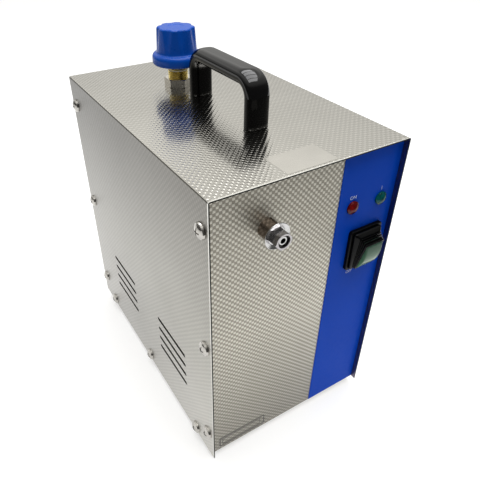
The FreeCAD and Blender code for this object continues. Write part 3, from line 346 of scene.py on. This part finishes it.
STEEL = embossed("stainless_embossed", (0.69, 0.67, 0.61), 0.11)
COVER = embossed("stainless_cover", (0.58, 0.565, 0.52), 0.13, edge_y=-0.1688)
STEEL_BACK = embossed("stainless_rear", (0.54, 0.525, 0.49), 0.14, front=0.4)
PLAIN = simple("steel_plain", (0.50, 0.49, 0.47), 0.32, 1.0, 0.10, 40.0, 0.00002, 900.0, stretch=(1, 1, 6))
BLUE = Mat("strip_blue", (0.0005, 0.045, 0.42), 0.36, 0.0)
BLUE.b.inputs["Specular IOR Level"].default_value = 0.03
_n = BLUE.noise(7.0, 2.0)
BLUE.colour(_n, (0.0002, 0.050, 0.43), (0.0004, 0.058, 0.485))
BLUE.roughness(BLUE.noise(240.0, 3.0), 0.33, 0.45)
BLUE.bump(BLUE.noise(2600.0, 2.0), 0.00002)
BLACK = simple("handle_black", (0.0010, 0.0009, 0.0011), 0.065, 0.0, 0.2, 55.0)
BLACK.b.inputs["Specular IOR Level"].default_value = 0.42
MATTE = simple("black_moulded", (0.0016, 0.0016, 0.002), 0.30, 0.0, 0.25, 80.0, 0.00002, 2200.0)
MATTE.b.inputs["Specular IOR Level"].default_value = 0.11
RUBBER = simple("boot_rubber", (0.0014, 0.0016, 0.0018), 0.24, 0.0, 0.25, 90.0, 0.00001, 1800.0)
RUBBER.b.inputs["Specular IOR Level"].default_value = 0.12
FOOT_RUBBER = simple("foot_rubber", (0.018, 0.018, 0.018), 0.75, 0.0, 0.3, 120.0, 0.00008, 1600.0)
KNOB = simple("knob_blue", (0.0005, 0.055, 0.335), 0.28, 0.0, 0.06, 45.0, 0.000005, 1400.0)
KNOB.b.inputs["Specular IOR Level"].default_value = 0.2
BRASS = simple("brass", (0.84, 0.69, 0.27), 0.22, 1.0, 0.07, 160.0)
COPPER = simple("copper", (0.80, 0.42, 0.25), 0.28, 1.0, 0.20, 120.0, 0.00001, 1800.0)
NICKEL = simple("nickel", (0.72, 0.69, 0.63), 0.18, 1.0, 0.07, 160.0)
CHROME = simple("nozzle_bright", (0.54, 0.54, 0.535), 0.20, 1.0, 0.08, 300.0)
SLEEVE = simple("nozzle_sleeve_steel", (0.42, 0.405, 0.41), 0.22, 1.0, 0.15, 260.0)
NUT = simple("nozzle_nut_brown", (0.25, 0.205, 0.175), 0.18, 1.0, 0.2, 260.0)
SCREW = simple("screw_steel", (0.48, 0.465, 0.435), 0.13, 1.0, 0.15, 260.0)
DARK = simple("nozzle_dark", (0.28, 0.26, 0.25), 0.20, 1.0, 0.15, 260.0, 0.00001, 2200.0)
WHITE = simple("white_moulded", (0.72, 0.71, 0.66), 0.45, 0.0, 0.08, 70.0, 0.00003, 1500.0)
GASKET = simple("gasket", (0.62, 0.60, 0.55), 0.6, 0.0, 0.1, 90.0, 0.00003, 1500.0)
FELT = simple("insulation", (0.66, 0.62, 0.50), 0.95, 0.0, 0.25, 220.0, 0.0006, 420.0)
WIRE = simple("wire_sleeve", (0.16, 0.10, 0.06), 0.55, 0.0, 0.3, 200.0, 0.00003, 900.0)
ENAMEL = simple("coil_black", (0.02, 0.02, 0.02), 0.5, 0.0, 0.3, 120.0, 0.00005, 900.0)

LAMP_R = simple("lamp_red", (0.135, 0.003, 0.003), 0.12, 0.0, 0.75, 210.0, 0.00003, 700.0)
LAMP_R.b.inputs["Specular IOR Level"].default_value = 0.22
LAMP_G = simple("lamp_green", (0.001, 0.080, 0.078), 0.12, 0.0, 0.75, 210.0, 0.00003, 700.0)
LAMP_G.b.inputs["Specular IOR Level"].default_value = 0.22
LENS = Mat("rocker_lens", (0.15, 0.27, 0.17), 0.15, 0.0)
# painted shade: the lens is coloured darker towards its top, lighter low down
_s = LENS.node("ShaderNodeSeparateXYZ")
LENS.link(LENS.coords(), _s.inputs["Vector"])
_g = LENS.math("ADD", _s.outputs["Z"], LENS.math("MULTIPLY", LENS.noise(120.0, 2.0), 0.004))
_r = LENS.node("ShaderNodeMapRange")
for _k, _v in (("From Min", 0.209), ("From Max", 0.242), ("To Min", 0.0), ("To Max", 1.0)):
    _r.inputs[_k].default_value = _v
LENS.link(_g, _r.inputs["Value"])
LENS.link(LENS.ramp(_r.outputs["Result"], [(0.0, (0.098, 0.215, 0.112)), (0.5, (0.062, 0.150, 0.088)), (1.0, (0.022, 0.036, 0.034))]), LENS.b.inputs["Base Color"])
LENS.roughness(LENS.noise(300.0, 2.0), 0.12, 0.20)
LENS.b.inputs["Specular IOR Level"].default_value = 0.14
LABEL = simple("label_film", (0.475, 0.46, 0.42), 0.20, 0.85, 0.05, 40.0)
INK = simple("etched_line", (0.035, 0.033, 0.03), 0.5, 0.0, 0.2, 300.0)
PRINT = simple("print_white", (0.55, 0.62, 0.75), 0.5, 0.0, 0.1, 300.0)

SLOT_MAT = {
    "stainless": STEEL, "steel_plain": PLAIN, "strip_blue": BLUE, "knob_blue": KNOB, "black_gloss": BLACK, "black_matte": MATTE,
    "rubber_black": FOOT_RUBBER, "gasket_white": GASKET, "brass": BRASS, "copper": COPPER, "nickel": NICKEL, "nozzle_metal": CHROME,
    "nozzle_dark": DARK, "lamp_red": LAMP_R, "lamp_green": LAMP_G, "lens_green": LENS, "insulation": FELT, "white_plastic": WHITE,
    "wire_insulation": WIRE,
}
for sp in frame["record"]["subparts"]:
    o = NODES[sp["node"]]
    mat_ = SLOT_MAT[sp["material_slot"]].m
    if not o.material_slots:
        o.data.materials.append(mat_)
    for s in o.material_slots:
        s.material = mat_
for s in NODES["rear_panel"].material_slots:
    s.material = STEEL_BACK.m
for s in NODES["cover"].material_slots:
    s.material = COVER.m
for n_, m_ in (("nozzle_front_nut", NUT), ("nozzle_sleeve", SLEEVE), ("nozzle_disc", CHROME), ("cover_screws", SCREW), ("base_screws", SCREW)):
    for s in NODES[n_].material_slots:
        s.material = m_.m


# ---------------------------------------------------------------- mesh tools
def make(name, verts, faces, material, body, smooth=True, angle=None):
    me = bpy.data.meshes.new(name)
    me.from_pydata([tuple(v) for v in verts], [], [tuple(f) for f in faces])
    me.validate()
    me.update()
    o = bpy.data.objects.new(name, me)
    scene.collection.objects.link(o)
    me.materials.append(material.m)
    if smooth:
        me.polygons.foreach_set("use_smooth", [True] * len(me.polygons))
        if angle:
            me.set_sharp_from_angle(angle=math.radians(angle))
    if body:
        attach(o, body)
    return o


def sweep(rings, closed_ring=True, cap_start=True, cap_end=True):
    """Faces over equal rings of points."""
    n = len(rings[0])
    verts, faces = [], []
    for r in rings:
        verts += list(r)
    m = n if closed_ring else n - 1
    for i in range(len(rings) - 1):
        for j in range(m):
            a, b = i * n + j, i * n + (j + 1) % n
            faces.append((a, b, b + n, a + n))
    if cap_start:
        faces.append(tuple(range(n))[::-1])
    if cap_end:
        k = (len(rings) - 1) * n
        faces.append(tuple(range(k, k + n)))
    return verts, faces


def loft_closed(rings):
    """Rings joined to one another and the last to the first: a closed tube."""
    n, m = len(rings[0]), len(rings)
    verts, faces = [], []
    for r in rings:
        verts += list(r)
    for i in range(m):
        k = (i + 1) % m
        for j in range(n):
            a, b = i * n + j, i * n + (j + 1) % n
            faces.append((a, b, k * n + (j + 1) % n, k * n + j))
    return verts, faces


def superellipse(w, h, e, steps):
    """Half-widths w and h, exponent e."""
    out = []
    for i in range(steps):
        t = 2 * math.pi * i / steps
        c, s = math.cos(t), math.sin(t)
        out.append((w * math.copysign(abs(c) ** (2 / e), c), h * math.copysign(abs(s) ** (2 / e), s)))
    return out


def rounded_rect(w, h, r, per=8, edge=4):
    """Points round a rectangle of half-sizes w and h, corner radius r, counterclockwise."""
    pts = []
    corners = [(w - r, h - r, 0), (-(w - r), h - r, 90), (-(w - r), -(h - r), 180), (w - r, -(h - r), 270)]
    for k, (cx, cy, a0) in enumerate(corners):
        for i in range(per + 1):
            a = math.radians(a0 + 90 * i / per)
            pts.append((cx + r * math.cos(a), cy + r * math.sin(a)))
        nx, ny, na = corners[(k + 1) % 4]
        a = math.radians(na)
        e = (nx + r * math.cos(a), ny + r * math.sin(a))
        s = pts[-1]
        for i in range(1, edge):
            pts.append((s[0] + (e[0] - s[0]) * i / edge, s[1] + (e[1] - s[1]) * i / edge))
    return pts


# ---------------------------------------------------------------- handle
def build_handle():
    y1, y2, top = 88.3, 188.2, 49.2
    leg_t, bar_t, w = 6.35, 7.35, 11.9
    rc = 15.0
    zc = top - bar_t
    path = []                               # (y, z, tangent angle from +Z towards +Y, half thickness)
    for i in range(9):
        path.append((y1, (zc - rc) * i / 8, 0.0, leg_t))
    for i in range(1, 25):
        a = math.pi / 2 * i / 24
        path.append((y1 + rc - rc * math.cos(a), zc - rc + rc * math.sin(a), a, leg_t + (bar_t - leg_t) * i / 24))
    for i in range(1, 7):
        path.append((y1 + rc + (y2 - y1 - 2 * rc) * (i - 0.5) / 12, zc, math.pi / 2, bar_t))
    path += [(y1 + y2 - y, z, math.pi - a, t) for (y, z, a, t) in path[::-1]]
    rings = []
    sec = superellipse(1.0, 1.0, 2.55, 64)
    for k, (y, z, a, t) in enumerate(path):
        ty, tz = math.sin(a), math.cos(a)
        ny, nz = -tz, ty                    # outward side of the bend
        rings.append([P(w * u, y + ny * t * v, COVER_H + z + nz * t * v) for u, v in sec])
    # feet: a small round at the base
    def foot(ring, z):
        c = sum((Vector(p) for p in ring), Vector()) / len(ring)
        inner = [c + (Vector(p) - c) * 0.985 for p in ring]
        return [Vector((p.x, p.y, P(0, 0, COVER_H + z).z)) for p in inner]
    first = [Vector((p.x, p.y, P(0, 0, COVER_H + 0.2).z)) for p in rings[0]]
    last = [Vector((p.x, p.y, P(0, 0, COVER_H + 0.2).z)) for p in rings[-1]]
    rings = [foot(rings[0], 0.02), first] + rings[1:-1] + [last, foot(rings[-1], 0.02)]
    v, f = sweep(rings)
    o = make("carry_handle", v, f, BLACK, "case", angle=40)
    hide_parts("handle")
    return o


build_handle()

# ---------------------------------------------------------------- cap knob
CX, CY = -7.0, 225.4


def build_knob():
    steps = 256
    top_r = 19.6
    rho = 9.0
    prof = [(23.2, 23.55), (24.3, 23.5), (25.2, 23.9), (25.8, 24.8), (26.0, 26.0), (26.0, 28.4), (25.95, 30.2), (25.6, 31.8), (24.9, 33.0),
            (24.0, 33.8), (23.0, 34.25), (22.2, 34.5), (21.6, 34.85), (21.2, 35.5), (21.0, 36.5), (20.85, 38.0)]
    for i in range(1, 23):
        t = i / 22.0
        prof.append((20.8 + (top_r - 20.8) * t, 38.0 + (57.3 - 38.0) * t))
    for i in range(1, 9):
        a = math.pi / 2 * i / 8
        prof.append((top_r - 2.1 * (1 - math.cos(a)), 57.3 + 2.1 * math.sin(a)))
    prof += [(15.0, 59.43), (12.0, 59.47), (9.0, 59.5), (8.6, 59.42), (8.2, 59.15), (7.8, 59.06), (4.0, 59.04), (0.4, 59.04)]
    rings = []
    for (r, z) in prof:
        ring = []
        s = min(1.0, max(0.0, (z - 37.0) / (57.5 - 37.0)))
        axis_r = 20.95 + rho - 3.3 * s                   # flute cutter leans inward towards the top
        for i in range(steps):
            th = 2 * math.pi * i / steps
            rr = r
            if z > 36.5 and r > 10:
                ph = (math.degrees(th) - 239.0 - 22.5) % 45.0
                ph = min(ph, 45.0 - ph)
                ph = math.radians(ph)
                q = rho * rho - (axis_r * math.sin(ph)) ** 2
                if q > 0:
                    rc_ = axis_r * math.cos(ph) - math.sqrt(q)
                    edge = top_r - r if z > 57.3 else 0.0
                    rc_ -= edge
                    k = 0.9                                # soft edge between flute and ridge
                    h = max(k - abs(rr - rc_), 0.0) / k
                    rr = min(rr, rc_) - h * h * k * 0.25
            ring.append(P(CX + rr * math.cos(th), CY + rr * math.sin(th), COVER_H + z))
        rings.append(ring)
    # underside of the skirt and the inner wall down to the plug
    def hexagon(z):
        pts = []
        for i in range(steps):
            th = 2 * math.pi * i / steps
            t = (math.degrees(th) + 30.0) % 60.0 - 30.0
            rr = 9.16 / math.cos(math.radians(t))
            pts.append(P(CX + rr * math.cos(th), CY + rr * math.sin(th), COVER_H + z))
        return pts

    inner = [(11.4, 22.65), (12.3, 22.7), (12.6, 23.2), (12.8, 38.0), (13.4, 52.0), (16.6, 52.4), (17.9, 50.0), (18.9, 38.0), (22.6, 32.0), (23.1, 26.0)]
    below = [[P(CX + r * math.cos(2 * math.pi * i / steps), CY + r * math.sin(2 * math.pi * i / steps), COVER_H + z) for i in range(steps)] for (r, z) in inner]
    crown = [P(CX + 0.4 * math.cos(2 * math.pi * i / steps), CY + 0.4 * math.sin(2 * math.pi * i / steps), COVER_H + 40.6) for i in range(steps)]
    v, f = sweep([crown, hexagon(40.6), hexagon(31.0), hexagon(23.0)] + below + rings, True, True, True)
    o = make("filler_knob", v, f, KNOB, "cap", angle=75)
    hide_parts("cap_knob")
    return o


build_knob()


# ---------------------------------------------------------------- coil springs
def build_spring(name, node, x, y, mean_r, wire_r, z0, z1, turns):
    """Compression spring: ground end turns at both ends and open turns between them."""
    steps = int(turns * 28)
    rise = z1 - z0 - 2 * wire_r
    flat = 2.1 * wire_r                                   # rise of the turn that lies flat at each end
    rings = []
    for i in range(steps + 1):
        t = turns * i / steps
        if t < 1.0:
            z = flat * t
        elif t > turns - 1.0:
            z = rise - flat * (turns - t)
        else:
            z = flat + (rise - 2 * flat) * (t - 1.0) / (turns - 2.0)
        th = 2 * math.pi * t
        c = Vector((mean_r * math.cos(th), mean_r * math.sin(th), z0 + wire_r + z))
        out = Vector((math.cos(th), math.sin(th), 0.0))
        up = Vector((0.0, 0.0, 1.0))
        ring = []
        for k in range(10):
            a = 2 * math.pi * k / 10
            q = c + (out * math.cos(a) + up * math.sin(a)) * wire_r
            ring.append(P(x + q.x, y + q.y, q.z))
        rings.append(ring)
    v, f = sweep(rings)
    o = make(name, v, f, PLAIN, None, angle=50)
    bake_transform(o)
    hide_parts(node)
    return o


build_spring("relief_coil", "relief_spring", CX, CY, 4.3, 0.5, COVER_H + 15.5, COVER_H + 33.9, 6.6)
build_spring("valve_coil", "solenoid_spring", -44.2, 112.0, 3.6, 0.42, 272.62, 280.9, 4.6)

# ---------------------------------------------------------------- rocker switch
SWX, SWZ, PIV_Y, TILT = 69.1, 213.0, 9.3, 15.0
FACE = 5.1


def tilted(x, y, z, deg):
    """Point x, y from the pivot, z from the pivot, leaned by deg."""
    a = math.radians(deg)
    return P(SWX + x, PIV_Y + y * math.cos(a) - z * math.sin(a), SWZ + y * math.sin(a) + z * math.cos(a))


def build_bezel():
    stations = [(19.25, 22.3, 2.6, FACE - 0.02), (19.25, 22.3, 2.6, FACE - 2.9), (19.1, 22.15, 2.5, FACE - 3.35), (18.75, 21.8, 2.3, FACE - 3.57),
                (18.2, 21.3, 2.1, FACE - 3.6), (16.0, 20.5, 2.0, FACE - 3.6), (15.3, 19.8, 2.0, FACE - 3.5), (14.9, 19.4, 2.0, FACE - 3.0), (14.8, 19.3, 2.0, FACE - 0.02)]
    rings = [[P(SWX + u, y, SWZ + v) for u, v in rounded_rect(a, b, r, 10, 6)] for (a, b, r, y) in stations]
    v, f = loft_closed(rings)
    o = make("switch_frame", v, f, MATTE, "case", angle=60)
    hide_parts("switch_bezel")


build_bezel()


def build_boot():
    """Waterproof boot: a sloping skirt, four pleats each leaned by a share of the rocker's tilt, and a collar that
    grips the lens."""
    out = []
    # skirt: (half width, half height, corner, distance from the pivot, share)
    outer = [(16.5, 20.4, 2.2, 7.85, 0.0), (16.5, 20.4, 2.2, 9.6, 0.0), (16.2, 20.1, 2.1, 10.15, 0.03), (15.5, 19.7, 2.0, 10.5, 0.10),
             (14.4, 19.2, 1.8, 11.0, 0.22), (13.4, 18.7, 1.7, 11.5, 0.32), (12.6, 18.3, 1.6, 11.95, 0.40)]
    inner = [(12.0, 17.7, 1.4, 11.5, 0.40), (12.8, 18.1, 1.5, 11.0, 0.32), (13.9, 18.6, 1.6, 10.4, 0.20), (15.0, 19.1, 1.8, 9.8, 0.08), (15.4, 19.3, 1.9, 9.2, 0.0), (15.4, 19.3, 1.9, 7.85, 0.0)]
    rings = [[tilted(u, -d, v, TILT * w) for u, v in rounded_rect(a, b, r, 6, 8)] for (a, b, r, d, w) in outer + inner]
    v, f = loft_closed(rings)
    skirt = make("boot_skirt", v, f, RUBBER, None)
    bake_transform(skirt)
    out.append(skirt)
    for k, (w, half_w, half_h, dist) in enumerate([(0.45, 12.9, 18.3, 12.3), (0.62, 12.5, 17.9, 13.5), (0.79, 12.1, 17.5, 14.7), (0.93, 11.8, 17.2, 15.9)]):
        rings = []
        for (dr, dy) in [(-2.0, -0.62), (-0.9, -0.52), (-0.25, -0.30), (0.0, 0.0), (-0.25, 0.30), (-0.9, 0.52), (-2.0, 0.62)]:
            pts = rounded_rect(half_w + dr, half_h + dr, max(0.7, 1.7 + 0.5 * dr), 6, 8)
            rings.append([tilted(u, -dist + dy, v, TILT * w) for u, v in pts])
        v, f = loft_closed(rings)
        o = make("boot_pleat_%d" % (k + 1), v, f, RUBBER, None)
        # every point of this pleat turns by nearly the same share of the travel
        a = math.radians(TILT * w)
        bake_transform(o)
        out.append(o)
    # collar that grips the lens, moving with it
    rings = []
    for (a, b, r, y) in [(10.1, 15.5, 0.9, -14.6), (11.3, 16.6, 1.4, -14.5), (11.7, 17.0, 1.6, -15.4), (11.6, 16.9, 1.5, -16.3), (11.0, 16.3, 1.2, -16.75), (10.08, 15.48, 0.8, -16.7)]:
        rings.append([tilted(u, y, v, TILT) for u, v in rounded_rect(a, b, r, 6, 8)])
    v, f = loft_closed(rings)
    collar = make("boot_collar", v, f, RUBBER, "rocker")
    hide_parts("switch_boot")
    return out


build_boot()


def build_lens():
    a, b, rc = 10.0, 15.4, 0.9
    outline = rounded_rect(a, b, rc, 8, 14)
    rings = []

    def level(inset, y, crown):
        ring = []
        for u, v in outline:
            uu = u * (a - inset) / a
            vv = v * (b - inset) / b
            lift = crown * (3.05 * (1 - (vv / b) ** 2) + 0.12 * (1 - (uu / a) ** 2))
            ring.append(tilted(uu, y - lift, vv, TILT))
        return ring

    rings.append(level(0.0, -11.4, 0.0))
    for k in range(1, 5):
        rings.append(level(0.0, -11.4 - 4.6 * k / 4.0, 0.86 * k / 4.0 * 1.0))
    for k in range(1, 7):
        t = math.pi / 2 * k / 6
        rings.append(level(1.15 * (1 - math.cos(t)), -16.0 - 1.15 * math.sin(t), 0.86 + 0.14 * math.sin(t)))
    for k in range(1, 12):
        rings.append(level(1.15 + 8.5 * k / 11.0, -17.15, 1.0))
    v, f = sweep(rings, True, True, False)
    # narrow strip down the middle of the face, closed by quads across it
    k0 = (len(rings) - 1) * len(outline)
    right = list(range(7, -1, -1)) + list(range(87, 66, -1))
    left = list(range(23, 52))
    f.append(tuple(k0 + i for i in range(7, 24)))
    f.append(tuple(k0 + i for i in range(51, 68)))
    for i in range(len(left) - 1):
        f.append((k0 + left[i], k0 + left[i + 1], k0 + right[i + 1], k0 + right[i]))
    o = make("switch_lens", v, f, LENS, "rocker", angle=50)
    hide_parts("rocker_lens")
    return o


build_lens()

# ---------------------------------------------------------------- printed and etched marks


def flat_strip(name, outline_out, outline_in, y0, y1, material, body, at):
    """A thin band between two outlines lying on the front panel, x z plane."""
    rings = [[P(at[0] + u, y0, at[1] + v) for u, v in outline_out], [P(at[0] + u, y1, at[1] + v) for u, v in outline_out],
             [P(at[0] + u, y1, at[1] + v) for u, v in outline_in], [P(at[0] + u, y0, at[1] + v) for u, v in outline_in]]
    v, f = loft_closed(rings)
    return make(name, v, f, material, body, smooth=False)


PANEL = 5.6
o = flat_strip("nameplate_border", rounded_rect(28.8, 7.4, 2.2, 6, 2), rounded_rect(27.6, 6.2, 1.4, 6, 2), PANEL - 0.01, PANEL - 0.10, INK, "case", (-60.9, 11.9))
o = flat_strip("nameplate_inner_border", rounded_rect(24.2, 4.7, 0.8, 4, 2), rounded_rect(23.4, 3.9, 0.5, 4, 2), PANEL - 0.01, PANEL - 0.09, INK, "case", (-62.0, 11.9))


def word(name, text, size, at, y, material):
    """Generic printed word or number standing a little proud of the strip."""
    c = bpy.data.curves.new(name, "FONT")
    c.body = text
    c.size = size * 0.001
    c.extrude = 0.00004
    c.align_x = "CENTER"
    t = bpy.data.objects.new(name + "_c", c)
    scene.collection.objects.link(t)
    dg = bpy.context.evaluated_depsgraph_get()
    me = bpy.data.meshes.new_from_object(t.evaluated_get(dg))
    bpy.data.objects.remove(t)
    me.name = name
    me.transform(Matrix.Translation(P(at[0], y, at[1])) @ Matrix.Rotation(math.radians(90), 4, "X"))
    me.materials.clear()
    me.materials.append(material.m)
    o = bpy.data.objects.new(name, me)
    scene.collection.objects.link(o)
    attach(o, "case")
    return o


word("mark_on", "ON", 4.8, (47.6, 270.6), FACE - 0.04, PRINT)
word("mark_one", "1", 4.8, (82.0, 270.4), FACE - 0.04, PRINT)
word("mark_off", "OFF", 4.6, (58.9, 183.0), FACE - 0.04, PRINT)

# blank film at the front of the top
LZ = COVER_H
lab = [[P(x, y, LZ + dz) for (x, y) in ((-4.5 + 0, 3.0), (20.5, 3.0), (20.5, 34.0), (-29.5, 34.0), (-29.5, 3.0), (-17.0, 3.0))] for dz in (0.01, 0.10)]
v, f = sweep(lab)
o = make("blank_label", v, f, LABEL, "case", smooth=False)

# ---------------------------------------------------------------- floor
me = bpy.data.meshes.new("floor")
me.from_pydata([(-4, -0.62, 0), (6, -0.62, 0), (6, 8, 0), (-4, 8, 0)], [], [(0, 1, 2, 3)])
floor = bpy.data.objects.new("floor", me)
scene.collection.objects.link(floor)
FLOOR = simple("floor_pale", (0.56, 0.56, 0.56), 0.8, 0.0, 0.01, 3.0)
FLOOR.b.inputs["Emission Color"].default_value = (1.0, 0.998, 0.99, 1)
FLOOR.b.inputs["Emission Strength"].default_value = 0.50
me.materials.append(FLOOR.m)
